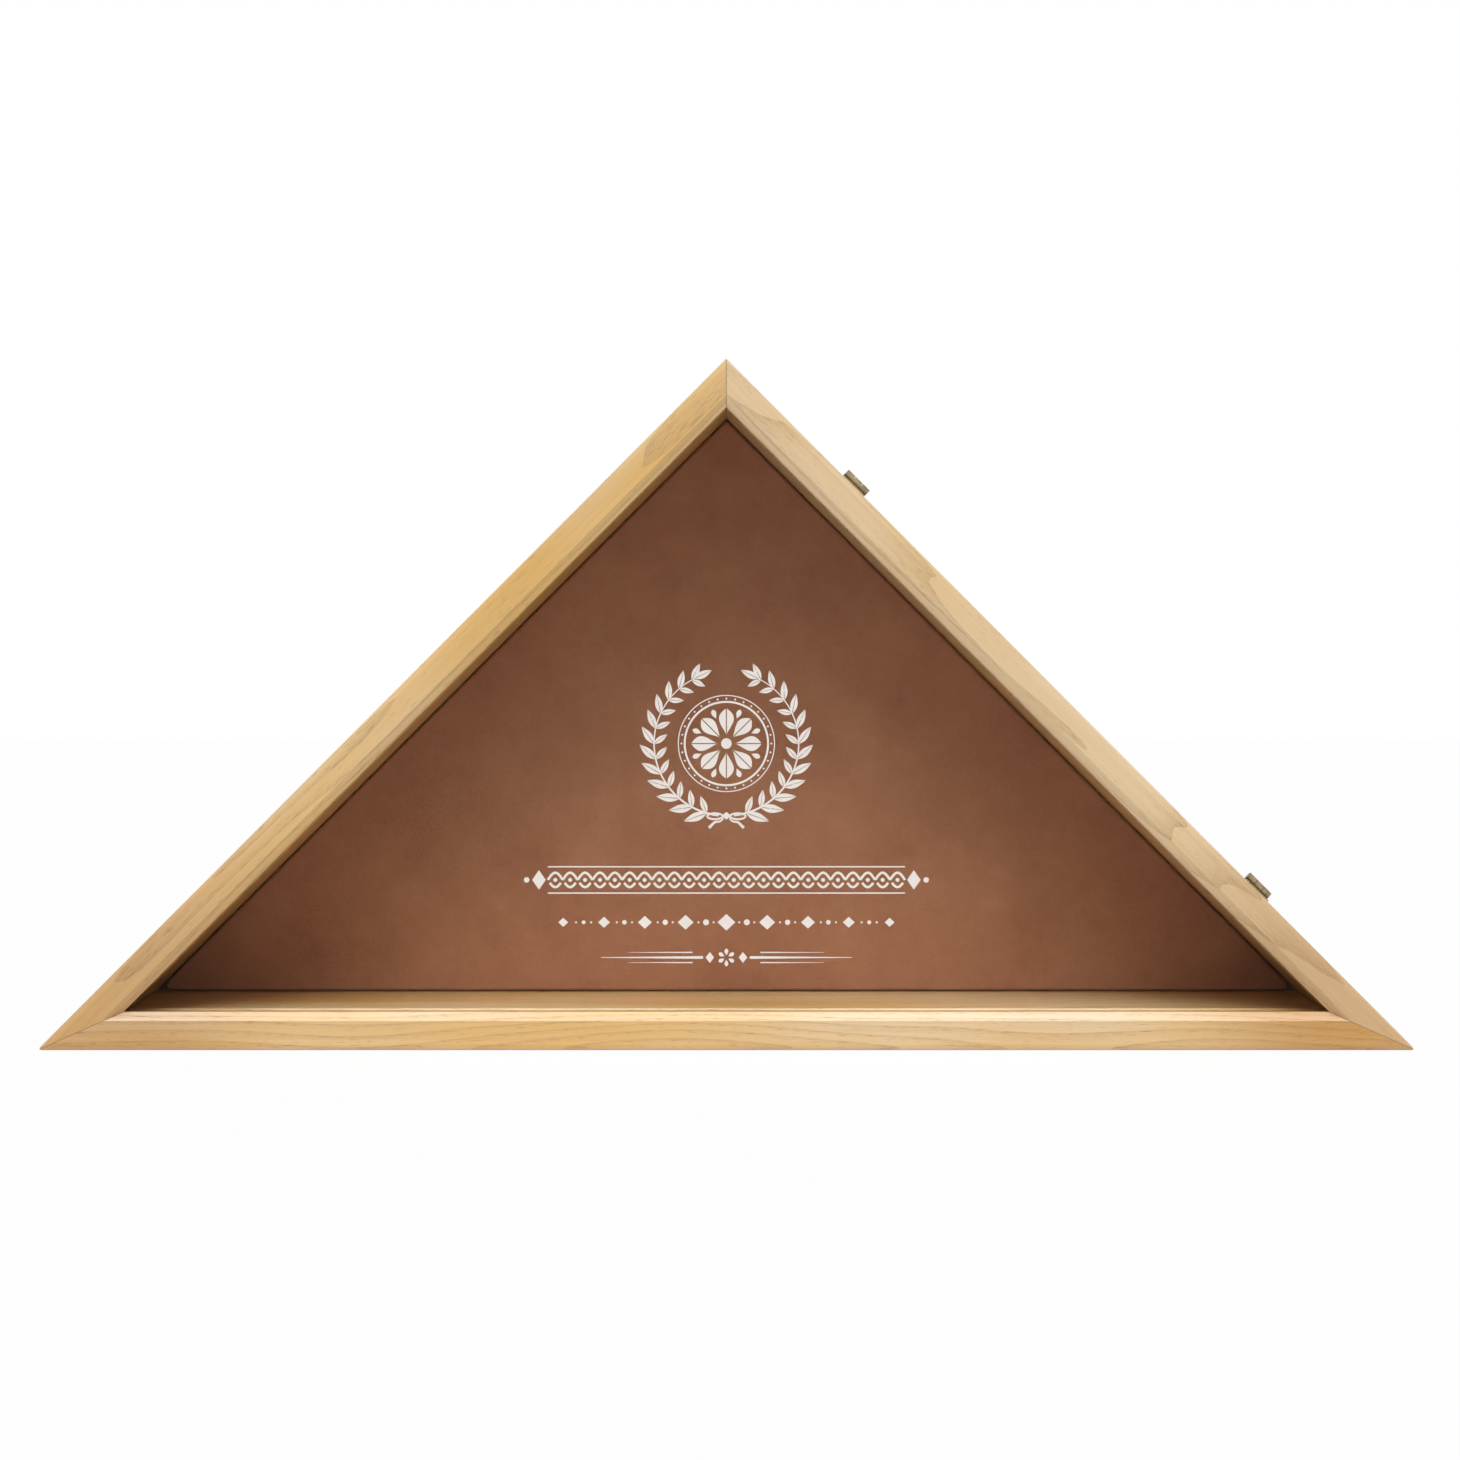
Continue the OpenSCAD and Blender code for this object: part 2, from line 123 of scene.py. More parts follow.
class OakSettings(bpy.types.PropertyGroup):
    pale: colour_property(
        "Pale wood", "Colour of the palest boards", (0.82, 0.605, 0.35))
    golden: colour_property(
        "Golden wood", "Colour of the yellowest boards", (0.78, 0.46, 0.125))
    ring: colour_property(
        "Rings", "Colour at the end of a year's growth", (0.52, 0.31, 0.125))
    pore: colour_property(
        "Pores", "Colour in the open pores", (0.27, 0.145, 0.06))
    glue: colour_property(
        "Joints", "Colour of the lines where boards meet", (0.22, 0.12, 0.05))
    # Painted shade: this tint darkens the ends near the two lower corners, as if the light
    # fell off there.
    tone: colour_property(
        "Painted corner shade", "Painted shade near the two sharp corners", (0.80, 0.71, 0.60))
    drift: share_property(
        "Drift", "How far the gold comes and goes along a board", 0.65)
    ring_share: share_property("Ring strength", "How clearly the rings show", 0.40)
    fibre_share: share_property(
        "Fibre strength", "How clearly the fibres show", 0.38)
    pore_share: share_property("Pore strength", "How clearly the pores show", 0.5)
    glue_share: share_property(
        "Joint strength", "How clearly the joints show", 0.8)
    roughness: share_property("Roughness", "Roughness under the lacquer", 0.40)
    lacquer: share_property("Lacquer", "Weight of the lacquer", 0.5)
    lacquer_roughness: share_property(
        "Lacquer roughness", "Roughness of the lacquer", 0.12)
    ring_pitch: length_property(
        "Ring pitch", "Distance between growth rings", 3.4 * MM)
    leg_w: length_property("Leg width", "Width of the sloping rails", 16 * MM)
    corner_r: length_property(
        "Corner", "Rounding of the frame's corners", 1 * MM)
    glue_w: length_property(
        "Joint width", "Width of the line at a mitre", 0.28 * MM)


class LiningSettings(bpy.types.PropertyGroup):
    velvet: colour_property("Velvet", "Colour of the pile", (0.50, 0.24, 0.14))
    velvet_deep: colour_property(
        "Deep pile", "Colour where the pile lies away", (0.32, 0.124, 0.070))
    sheen: colour_property("Sheen", "Tint of the pile's sheen", (0.85, 0.62, 0.48))
    edge_round: length_property(
        "Edge", "Rounding where the cloth turns the board's edge", 1.4 * MM)
    board: colour_property(
        "Fibreboard", "Colour of the back panel", (0.36, 0.225, 0.125))
    board_fleck: colour_property(
        "Fibres", "Colour of its dark fibres", (0.17, 0.098, 0.052))


class MetalSettings(bpy.types.PropertyGroup):
    brass: colour_property(
        "Brass", "Colour of the rubbed brass", (0.44, 0.33, 0.18))
    patina: colour_property(
        "Patina", "Colour of the darkened brass", (0.13, 0.096, 0.058))
    steel: colour_property(
        "Zinc plate", "Colour of the screws and hangers", (0.62, 0.63, 0.64))
    nickel: colour_property("Nickel", "Colour of the magnets", (0.66, 0.64, 0.60))


class EtchingSettings(bpy.types.PropertyGroup):
    frost: colour_property("Frost", "Colour of the etched glass", (0.95, 0.88, 0.82))
    depth: length_property(
        "Thickness", "How far the frost stands off the glass", 0.06 * MM)
    bite: length_property(
        "Bite", "How deep the frost goes into the glass", 0.02 * MM)
    wreath_z: length_property(
        "Wreath height", "Height of the wreath's middle", 144.0 * MM)
    wreath_r: length_property(
        "Wreath radius", "Radius of the wreath's stems", 34.0 * MM)
    band_z: length_property(
        "Band height", "Height of the plaited band", 79.8 * MM)
    band_w: length_property("Band width", "Width of the plaited band", 185.0 * MM)
    row_z: length_property("Row height", "Height of the row of lozenges", 59.8 * MM)
    row_w: length_property("Row width", "Width of the row of lozenges", 154.0 * MM)
    rule_z: length_property(
        "Rule height", "Height of the lowest ornament", 43.2 * MM)
    rule_w: length_property("Rule width", "Width of the lowest ornament", 118.0 * MM)


class StageSettings(bpy.types.PropertyGroup):
    floor: colour_property("Floor", "Colour of the floor", (0.95, 0.95, 0.95))
    floor_reach: length_property(
        "Floor reach", "From the floor's middle to its edge", 4.0)
    floor_white: share_property(
        "Floor white", "Share of plain white where the floor is seen", 0.85)
    camera_distance: length_property(
        "Camera distance", "From the door's face", 1.5)
    camera_x: length_property(
        "Camera side", "Camera's place along the base", 1.7 * MM)
    camera_z: length_property("Camera height", "Height of the camera", 200 * MM)
    aim_z: length_property(
        "Aim height", "Height that the camera faces at the door", 150.6 * MM)
    field_w: length_property(
        "Field", "Width of the view at the door's face", 682.7 * MM)
    world_strength: strength_property(
        "Ambient", "Strength of the even light", 0.35)
    key_strength: strength_property("Lamp", "Strength of the lamp", 2.18)
    key_height: angle_property(
        "Lamp height", "Angle of the lamp above the floor", 65)
    key_side: angle_property(
        "Lamp side", "Angle of the lamp to the left of the front", 4)
    key_softness: angle_property(
        "Lamp softness", "Angle over which the lamp spreads", 46)


SETTINGS = {
    "flag_oak": OakSettings,
    "flag_lining": LiningSettings,
    "flag_metal": MetalSettings,
    "flag_etching": EtchingSettings,
    "flag_stage": StageSettings,
}


# ---------------------------------------------------------------- node helpers

class Tree:
    """Adds nodes to one node tree and links them as they are made."""

    def __init__(self, tree):
        self.nodes = tree.nodes
        self.links = tree.links

    def put(self, socket, value):
        if isinstance(value, bpy.types.NodeSocket):
            self.links.new(value, socket)
        elif isinstance(value, bpy.types.Node):
            self.links.new(value.outputs[0], socket)
        elif socket.type == "RGBA" and len(value) == 3:
            socket.default_value = (*value, 1)
        else:
            socket.default_value = value

    def fill(self, node, inputs):
        for name, value in inputs.items():
            self.put(node.inputs[name], value)

    def add(self, kind, inputs=None, **settings):
        node = self.nodes.new("ShaderNode" + kind)
        for name, value in settings.items():
            setattr(node, name, value)
        self.fill(node, inputs or {})
        return node

    def math(self, operation, *values, clamp=False):
        node = self.add("Math", operation=operation, use_clamp=clamp)
        for socket, value in zip(node.inputs, values):
            self.put(socket, value)
        return node.outputs[0]

    def weigh(self, total, *parts):
        """The total with each mask in the parts added at its weight."""
        for mask, weight in parts:
            total = self.math("MULTIPLY_ADD", mask, weight, total)
        return total

    def vector_math(self, operation, a, b):
        node = self.add("VectorMath", {0: a, 1: b}, operation=operation)
        return node.outputs[0]

    def blend(self, share, a, b, way="MIX"):
        node = self.add(
            "Mix", {0: share, 6: a, 7: b}, data_type="RGBA", blend_type=way)
        return node.outputs[2]

    def spread(self, value, low, high, to_low=0.0, to_high=1.0, smooth=False):
        kind = "SMOOTHSTEP" if smooth else "LINEAR"
        node = self.add("MapRange", {
            "Value": value, "From Min": low, "From Max": high,
            "To Min": to_low, "To Max": to_high,
        }, interpolation_type=kind)
        return node.outputs[0]

    def noise(self, vector, scale=1.0, detail=2.0, roughness=0.5, output="Fac"):
        node = self.add("TexNoise", {
            "Vector": vector, "Scale": scale,
            "Detail": detail, "Roughness": roughness,
        })
        return node.outputs[output]


def new_group(name, inputs, outputs):
    """A new shader node group's Tree, its start sockets and its end node. An
    input has a kind and a default, and every output is a value."""
    group = bpy.data.node_groups.new(name, "ShaderNodeTree")
    kinds = {"value": "NodeSocketFloat", "vector": "NodeSocketVector"}
    for label, (kind, default) in inputs.items():
        socket = group.interface.new_socket(
            label, in_out="INPUT", socket_type=kinds[kind])
        if kind == "value":
            socket.default_value = default
    for label in outputs:
        group.interface.new_socket(
            label, in_out="OUTPUT", socket_type=kinds["value"])
    start = group.nodes.new("NodeGroupInput").outputs
    end = group.nodes.new("NodeGroupOutput")
    return Tree(group), start, end


def wood_grain_group(name):
    """Growth rings, fibres, pores and slow changes of tone. Its coordinates
    are in millimetres, with X along the grain."""
    tree, start, end = new_group(
        name, {"Vector": ("vector", None), "Ring pitch": ("value", 3.4)},
        ("Rings", "Fibres", "Pores", "Drift"),
    )

    def stretched(along, across):
        """The coordinates, scaled along the grain and across it."""
        return tree.vector_math("MULTIPLY", start["Vector"], (along, across, across))

    # The trunk's middle lies well outside the board and wanders along it.
    wander, trunk_middle = (0, 60, 60), (0, 37, 64)
    bend = tree.noise(stretched(0.0022, 0.012), output="Color")
    bend = tree.vector_math("SUBTRACT", bend, (0.5, 0.5, 0.5))
    bend = tree.vector_math("MULTIPLY", bend, wander)
    trunk = tree.vector_math("ADD", stretched(0.012, 1), bend)
    trunk = tree.vector_math("ADD", trunk, trunk_middle)

    # At a scale of 1 the wave texture's rings are this far apart.
    plain_pitch = math.tau / 20
    scale = tree.math("DIVIDE", plain_pitch, start["Ring pitch"])
    ring = tree.add("TexWave", {
        "Vector": trunk, "Scale": scale, "Distortion": 0.35,
        "Detail": 3.0, "Detail Scale": 2.2, "Detail Roughness": 0.6,
    }, wave_type="RINGS", rings_direction="X", wave_profile="SAW").outputs["Fac"]

    broad = tree.spread(tree.noise(stretched(0.010, 0.55)), 0.3, 0.7)
    fine = tree.noise(stretched(0.03, 2.4), detail=5.0, roughness=0.7)
    fine = tree.spread(fine, 0.32, 0.68)
    both = tree.math("ADD", broad, fine)

    # Pores are short dashes, and lie closer where a ring ends.
    dash = tree.noise(stretched(0.14, 3.6), detail=1.0)
    least = tree.spread(ring, 0.0, 1.0, 0.72, 0.58)
    pores = tree.math("SUBTRACT", dash, least)
    sharpness = 16.0

    drift = tree.noise(stretched(0.005, 0.03))
    tree.fill(end, {
        "Rings": tree.math("POWER", ring, 3.0),
        "Fibres": tree.math("MULTIPLY", both, 0.5),
        "Pores": tree.math("MULTIPLY", pores, sharpness, clamp=True),
        "Drift": tree.spread(drift, 0.3, 0.7, -1.0, 1.0),
    })


def joint_and_shade_group(name):
    """Fine lines where the frame's pieces meet, at the two lower corners and at the apex,
    and painted shade on the ends near those corners, where the light is made to fall off.
    Its coordinates are the model's own, in millimetres."""
    tree, start, end = new_group(
        name,
        {
            "Vector": ("vector", None), "Half width": ("value", 324.0),
            "Slope": ("value", 0.4), "Line width": ("value", 0.3),
        },
        ("Corners", "Apex", "Shaded ends"),
    )
    axes = tree.add("SeparateXYZ", {0: start["Vector"]}).outputs
    side = tree.math("ABSOLUTE", axes["X"])
    inwards = tree.math("SUBTRACT", start["Half width"], side)
    rise = tree.math("MULTIPLY", inwards, tree.math("SINE", start["Slope"]))
    fall = tree.math("MULTIPLY", axes["Z"], tree.math("COSINE", start["Slope"]))
    corner = tree.math("ABSOLUTE", tree.math("SUBTRACT", rise, fall))
    solid_share = 0.2
    masks = {}
    for label, distance in (("Corners", corner), ("Apex", side)):
        share = tree.math("DIVIDE", distance, start["Line width"])
        masks[label] = tree.spread(share, solid_share, 1.0, 1.0, 0.0, smooth=True)
    along = tree.math("DIVIDE", side, start["Half width"])
    # Painted shade: from this share of the half width the ends darken towards the corners.
    shade_from, darkest_shade_from = 0.60, 0.85
    masks["Shaded ends"] = tree.spread(along, shade_from, darkest_shade_from, smooth=True)
    tree.fill(end, masks)


def speckle_group(name):
    """Mottling at two sizes, for cloth, board, metal and frost. Its
    coordinates and sizes are in millimetres."""
    tree, start, end = new_group(
        name,
        {
            "Vector": ("vector", None),
            "Coarse": ("value", 20.0), "Fine": ("value", 0.5),
        },
        ("Coarse", "Fine", "Both"),
    )
    masks = {}
    for label, detail, roughness in (("Coarse", 4.0, 0.6), ("Fine", 2.0, 0.7)):
        scale = tree.math("DIVIDE", 1.0, start[label])
        mottle = tree.noise(start["Vector"], scale, detail, roughness)
        masks[label] = tree.spread(mottle, 0.3, 0.7)
    both = tree.math("ADD", masks["Coarse"], masks["Fine"])
    masks["Both"] = tree.math("MULTIPLY", both, 0.5)
    tree.fill(end, masks)


GROUPS = {
    "Wood grain": wood_grain_group,
    "Joint lines and shade": joint_and_shade_group,
    "Speckle": speckle_group,
}


def use_group(tree, name, inputs):
    """Places a group in a material's tree, and builds it the first time."""
    if name not in bpy.data.node_groups:
        GROUPS[name](name)
    node = tree.add("Group", node_tree=bpy.data.node_groups[name])
    tree.fill(node, inputs)
    return node.outputs


def new_material(name):
    """A material with a Principled shader on its output, and its Tree."""
    material = bpy.data.materials.new(name)
    material.use_nodes = True
    tree = Tree(material.node_tree)
    tree.nodes.clear()
    shader = tree.add("BsdfPrincipled")
    output = tree.add("OutputMaterial", {"Surface": shader})
    return material, tree, shader, output


def millimetres(tree, turn=0.0, shift=(0.0, 0.0, 0.0)):
    """The piece's own coordinates in millimetres, turned about Y."""
    where = tree.add("TexCoord").outputs["Object"]
    return tree.add("Mapping", {
        "Vector": where, "Location": shift,
        "Rotation": (0, math.radians(turn), 0), "Scale": (1 / MM,) * 3,
    }).outputs[0]


def emboss(tree, height, strength, depth):
    """A normal that follows a height, in which 1 stands for the depth."""
    return tree.add("Bump", {
        "Height": height, "Strength": strength, "Distance": depth,
    })


def dim(colour, share):
    """A colour brought down to a share of its brightness."""
    return tuple(share * channel for channel in colour)


def give(node, material):
    """Puts a material in every slot of a CAD node."""
    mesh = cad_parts[node].data
    mesh.materials.clear()
    mesh.materials.append(material)


# ---------------------------------------------------------------- materials

def mitre_lines_and_shade(tree):
    """The masks of the lines where the boards or the rails meet, and of the painted shade
    on the ends near the lower corners."""
    own = bpy.context.scene.flag_oak
    base_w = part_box("door_base_rail")[1].z
    # The corner's rounding has cut off this much of the sharp point.
    point = own.corner_r * (math.sqrt(2) - 1)
    half_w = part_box("left_side_board")[1].z + point
    return use_group(tree, "Joint lines and shade", {
        "Vector": millimetres(tree), "Half width": half_w / MM,
        "Slope": math.atan2(base_w, base_w + own.leg_w * math.sqrt(2)),
        "Line width": own.glue_w / MM,
    })


def oak(name, turn, place, gold, meets=(), darken=0.0):
    """Lacquered oak whose grain runs along a side of the case, cut from a numbered place
    in the wood. The share of gold sets how yellow it is, and meets names the mitres at its
    ends; a piece with mitres also gets painted shade near the lower corners."""
    own = bpy.context.scene.flag_oak
    material, tree, shader, _ = new_material(name)
    shift = [place * step for step in PLACE_STEP]
    grain = use_group(tree, "Wood grain", {
        "Vector": millimetres(tree, turn, shift), "Ring pitch": own.ring_pitch / MM,
    })
    yellow = tree.math("MULTIPLY_ADD", grain["Drift"], own.drift, gold, clamp=True)
    colour = tree.blend(yellow, own.pale, own.golden)
    figure = tree.weigh(
        0.0, (grain["Rings"], own.ring_share), (grain["Fibres"], own.fibre_share))
    faintest = 0.08
    figure = tree.math("SUBTRACT", figure, faintest, clamp=True)
    colour = tree.blend(figure, colour, own.ring)
    pores = tree.math("MULTIPLY", grain["Pores"], own.pore_share)
    colour = tree.blend(pores, colour, own.pore)
    if darken:
        colour = tree.blend(darken, colour, own.pore)
    if meets:
        masks = mitre_lines_and_shade(tree)
        # Painted shade: the ends near the lower corners are darkened, as if the light fell
        # off there.
        colour = tree.blend(masks["Shaded ends"], colour, own.tone, way="MULTIPLY")
        line = masks[meets[0]]
        for other in meets[1:]:
            line = tree.math("MAXIMUM", line, masks[other])
        line = tree.math("MULTIPLY", line, own.glue_share)
        colour = tree.blend(line, colour, own.glue)
    # Fibres and open pores are rougher than the wood between them.
    smoothest = own.roughness - 0.05
    roughness = tree.weigh(
        smoothest, (grain["Fibres"], 0.10), (grain["Pores"], 0.25))
    height = tree.weigh(0.0, (grain["Pores"], -1.0), (grain["Fibres"], 0.3))
    tree.fill(shader, {
        "Base Color": colour,
        "Roughness": roughness,
        "Normal": emboss(tree, height, strength=0.3, depth=0.12 * MM),
        "Coat Weight": own.lacquer,
        "Coat Roughness": own.lacquer_roughness,
    })
    return material


def velvet():
    """Short brown pile that lies this way and that."""
    own = bpy.context.scene.flag_lining
    material, tree, shader, _ = new_material("Velvet")
    place = millimetres(tree)
    brushed = use_group(
        tree, "Speckle", {"Vector": place, "Coarse": 44.0, "Fine": 8.0})
    pile = use_group(
        tree, "Speckle", {"Vector": place, "Coarse": 1.6, "Fine": 0.4})
    away = tree.weigh(
        0.0, (brushed["Fine"], 0.16), (brushed["Coarse"], 0.40), (pile["Both"], 0.30))
    tree.fill(shader, {
        "Base Color": tree.blend(away, own.velvet, own.velvet_deep),
        "Roughness": 0.95,
        "Specular IOR Level": 0.15,
        "Sheen Weight": 0.35,
        "Sheen Roughness": 0.45,
        "Sheen Tint": own.sheen,
        "Normal": emboss(tree, pile["Both"], strength=0.4, depth=0.2 * MM),
    })
    return material


def fibreboard():
    """Pressed board with short dark fibres."""
    own = bpy.context.scene.flag_lining
    material, tree, shader, _ = new_material("Fibreboard")
    place = millimetres(tree)
    speckle = use_group(
        tree, "Speckle", {"Vector": place, "Coarse": 60.0, "Fine": 1.1})
    streaky = tree.vector_math("MULTIPLY", place, (0.5, 1, 1.6))
    fibres = tree.noise(streaky, scale=0.9, detail=3.0, roughness=0.7)
    fibres = tree.spread(fibres, 0.56, 0.68)
    flecks = tree.weigh(0.0, (fibres, 0.55), (speckle["Coarse"], 0.18))
    tree.fill(shader, {
        "Base Color": tree.blend(flecks, own.board, own.board_fleck),
        "Roughness": tree.weigh(0.68, (speckle["Fine"], 0.15)),
        "Normal": emboss(tree, speckle["Fine"], strength=0.3, depth=0.1 * MM),
    })
    return material


def metal(name, bright, dull, patina, roughness, coarse=5.0):
    """Metal that has dulled in patches, with a faintly uneven face."""
    material, tree, shader, _ = new_material(name)
    speckle = use_group(tree, "Speckle", {
        "Vector": millimetres(tree), "Coarse": coarse, "Fine": 0.35,
    })
    worn = tree.weigh(0.0, (speckle["Coarse"], 0.82), (speckle["Fine"], 0.18))
    worn = tree.spread(worn, 0.1, 0.8, 0.0, patina, smooth=True)
    tree.fill(shader, {
        "Base Color": tree.blend(worn, bright, dull),
        "Roughness": tree.weigh(roughness, (worn, 0.3)),
        "Metallic": 1.0,
        "Normal": emboss(tree, speckle["Fine"], strength=0.08, depth=0.05 * MM),
    })
    return material


def clear_glass():
    """Float glass that lets the lamp through to what is behind it."""
    material, tree, shader, output = new_material("Clear glass")
    tint, mirroring = (0.965, 0.985, 0.975), (0.03, 0.03, 0.03)
    tree.fill(shader, {
        "Base Color": tint,
        "Roughness": 0.0,
        "IOR": 1.45,
        "Transmission Weight": 1.0,
        "Specular Tint": mirroring,
    })
    clear = tree.add("BsdfTransparent", {"Color": tint})
    shadow = tree.add("LightPath").outputs["Is Shadow Ray"]
    mix = tree.add("MixShader", {0: shadow, 1: shader, 2: clear})
    tree.put(output.inputs["Surface"], mix)
    return material


def frosted_glass():
    """The white of etched glass."""
    own = bpy.context.scene.flag_etching
    material, tree, shader, _ = new_material("Frosted etching")
    speckle = use_group(tree, "Speckle", {
        "Vector": millimetres(tree), "Coarse": 9.0, "Fine": 0.25,
    })
    shade = dim(own.frost, 0.84)
    tree.fill(shader, {
        "Base Color": tree.blend(speckle["Both"], own.frost, shade),
        "Roughness": tree.weigh(0.6, (speckle["Fine"], 0.2)),
        "Normal": emboss(tree, speckle["Fine"], strength=0.4, depth=0.05 * MM),
    })
    return material


# ---------------------------------------------------------------- meshes

def new_object(name, bm, material):
    """Turns a bmesh into an object in the scene."""
    mesh = bpy.data.meshes.new(name)
    bm.to_mesh(mesh)
    bm.free()
    mesh.materials.append(material)
    made = bpy.data.objects.new(name, mesh)
    bpy.context.scene.collection.objects.link(made)
    return made


def new_piece(name, bm, material, body):
    """Turns a bmesh into an object that rides on a body of the case."""
    bmesh.ops.recalc_face_normals(bm, faces=bm.faces)
    piece = new_object(name, bm, material)
    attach(piece, body)
    return piece


def velvet_board_mesh():
    """The backing board in its cloth, which rounds the front edges."""
    low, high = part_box("velvet_backing")
    clip = high.z - high.x - low.z
    outline = [
        (low.x, low.z), (high.x, low.z), (high.x, low.z + clip),
        ((low.x + high.x) / 2, high.z), (low.x, low.z + clip),
    ]
    bm = bmesh.new()
    back = [bm.verts.new((x, high.y, z)) for x, z in outline]
    front = [bm.verts.new((x, low.y, z)) for x, z in outline]
    count = len(outline)
    bm.faces.new(back)
    bm.faces.new(front)
    for i in range(count):
        j = (i + 1) % count
        bm.faces.new((back[i], back[j], front[j], front[i]))
    turned = [e for e in bm.edges if any(v in front for v in e.verts)]
    bmesh.ops.bevel(
        bm, geom=turned, offset=bpy.context.scene.flag_lining.edge_round,
        segments=4, profile=0.5, affect="EDGES", clamp_overlap=True,
    )
    # The front, the back and the three long sides stay flat. The smaller faces
    # are the cloth's turn.
    least_flat_area = 1e-3
    for face in bm.faces:
        face.smooth = face.calc_area() < least_flat_area
    return bm


def around(radius, turn, side=1):
    """The point at an angle on a circle, mirrored where side is -1."""
    return side * radius * math.cos(turn), radius * math.sin(turn)


def mirrored(angle, side):
    """The angle, mirrored where side is -1."""
    return angle if side > 0 else math.pi - angle


class Etching:
    """Collects flat shapes, drawn in millimetres about a middle point, as one
    frosted layer on the front of the glass."""

    HAIR = 0.0006 * MM

    def __init__(self, middle_z):
        own = bpy.context.scene.flag_etching
        self.bm = bmesh.new()
        self.middle_z = middle_z
        self.glass_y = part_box("glass_pane")[0].y
        self.back_y = self.glass_y + own.bite
        self.depth = own.depth
        self.drawn = 0

    def point(self, x, z, y):
        return self.bm.verts.new((x * MM, y, self.middle_z + z * MM))

    def shape(self, outline):
        """A closed outline of (x, z) points. Each shape stands a hair higher
        than the last, so two that cross never share a face."""
        self.drawn += 1
        front_y = self.glass_y - self.depth - self.drawn * self.HAIR
        front = [self.point(x, z, front_y) for x, z in outline]
        back = [self.point(x, z, self.back_y) for x, z in outline]
        self.bm.faces.new(front)
        self.bm.faces.new(back[::-1])
        for i, at in enumerate(front):
            self.bm.faces.new((at, back[i], back[i - 1], front[i - 1]))

    def line(self, path, width, end_width=None):
        """A stroke along a path. Its width may change steadily to its end."""
        change = 0.0 if end_width is None else end_width - width
        last = len(path) - 1
        left, right = [], []
        for i, (x, z) in enumerate(path):
            ahead, behind = path[min(i + 1, last)], path[max(i - 1, 0)]
            run = Vector((ahead[0] - behind[0], ahead[1] - behind[1])).normalized()
            half = (width + change * i / last) / 2
            left.append((x - run.y * half, z + run.x * half))
            right.append((x + run.y * half, z - run.x * half))
        self.shape(left + right[::-1])

    def ring(self, radius, width, half_steps=48):
        """A ring, as two half strokes that meet."""
        for start in (0, math.pi):
            turns = [start + math.pi * i / half_steps for i in range(half_steps + 1)]
            self.line([around(radius, turn) for turn in turns], width)

    def dot(self, x, z, radius, steps=20):
        rim = [around(radius, math.tau * i / steps) for i in range(steps)]
        self.shape([(x + rim_x, z + rim_z) for rim_x, rim_z in rim])

    def lozenge(self, x, z, half_w, half_h):
        self.shape([(x - half_w, z), (x, z - half_h), (x + half_w, z), (x, z + half_h)])

    def leaf(self, x, z, angle, length, width, steps=9):
        """A pointed leaf in two halves, with its vein left clear."""
        run = Vector((math.cos(angle), math.sin(angle)))
        side = Vector((-run.y, run.x))
        half_vein = width * 0.045
        for way in (1, -1):
            edge = []
            for i in range(steps):
                t = i / steps
                bulge = math.sin(math.pi * t ** 0.85) * width / 2
                edge.append(run * length * t + side * way * max(bulge, half_vein))
            edge.append(run * length + side * way * half_vein * 0.5)
            self.shape([(x + p.x, z + p.y) for p in edge])

    def petal(self, angle, start, length, width, vein=0.0, steps=14):
        """A round-ended petal that points away from the middle, in two
        halves that are the vein's width apart."""
        run = Vector((math.cos(angle), math.sin(angle)))
        side = Vector((-run.y, run.x))
        for way in (1, -1):
            gap = side * way * vein / 2
            edge = [run * start + gap]
            for i in range(1, steps + 1):
                t = i / steps
                bulge = math.sin(math.pi * t ** 1.5) ** 0.8 * width / 2
                edge.append(run * (start + length * t) + side * way * bulge)
            edge[-1] += gap
            self.shape([(p.x, p.y) for p in edge])

    def piece(self, name, material):
        return new_piece(name, self.bm, material, "door")


def etch_wreath(etching, radius):
    """Two laurel branches round an eight-petalled rosette."""
    foot, tip = math.radians(-84), math.radians(64)
    pairs, steps = 12, 40
    for side in (1, -1):
        turns = [foot + (tip - foot) * i / steps for i in range(steps + 1)]
        stem = [around(radius, turn, side) for turn in turns]
        etching.line(stem, width=1.0, end_width=0.4)
        for i in range(pairs):
            share = (i + 0.8) / pairs
            turn = foot + (tip - foot) * share
            x, z = around(radius, turn, side)
            # Each leaf's lean inwards and its length, less towards the tip.
            leaves = ((0.95, 8.6 - 1.6 * share), (-0.62, 11.6 - 3.0 * share))
            for lean, length in leaves:
                heading = mirrored(turn + math.pi / 2 + lean, side)
                etching.leaf(x, z, heading, length, width=length * 0.36)
            if i % 2:
                etching.dot(*around(radius + 3.4, turn + 0.09, side), radius=0.8)
        heading = mirrored(tip + math.pi / 2, side)
        etching.leaf(*stem[-1], heading, length=9.0, width=3.4)
    etch_rosette(etching)
    etch_bow(etching, -radius)


def etch_rosette(etching):
    """Eight petals and eight small ones between them, in a beaded ring."""
    petals, beads = 8, 32
    for i in range(petals):
        turn, between = math.tau * i / petals, math.tau * (i + 0.5) / petals
        etching.petal(turn, start=4.0, length=12.4, width=7.0, vein=0.5)
        etching.petal(between, start=12.6, length=4.6, width=2.4)
    etching.dot(0, 0, radius=2.5, steps=32)
    etching.ring(radius=19.6, width=0.9)
    etching.ring(radius=22.6, width=0.45)
    for i in range(beads):
        etching.dot(*around(21.1, math.tau * i / beads), radius=0.45, steps=10)


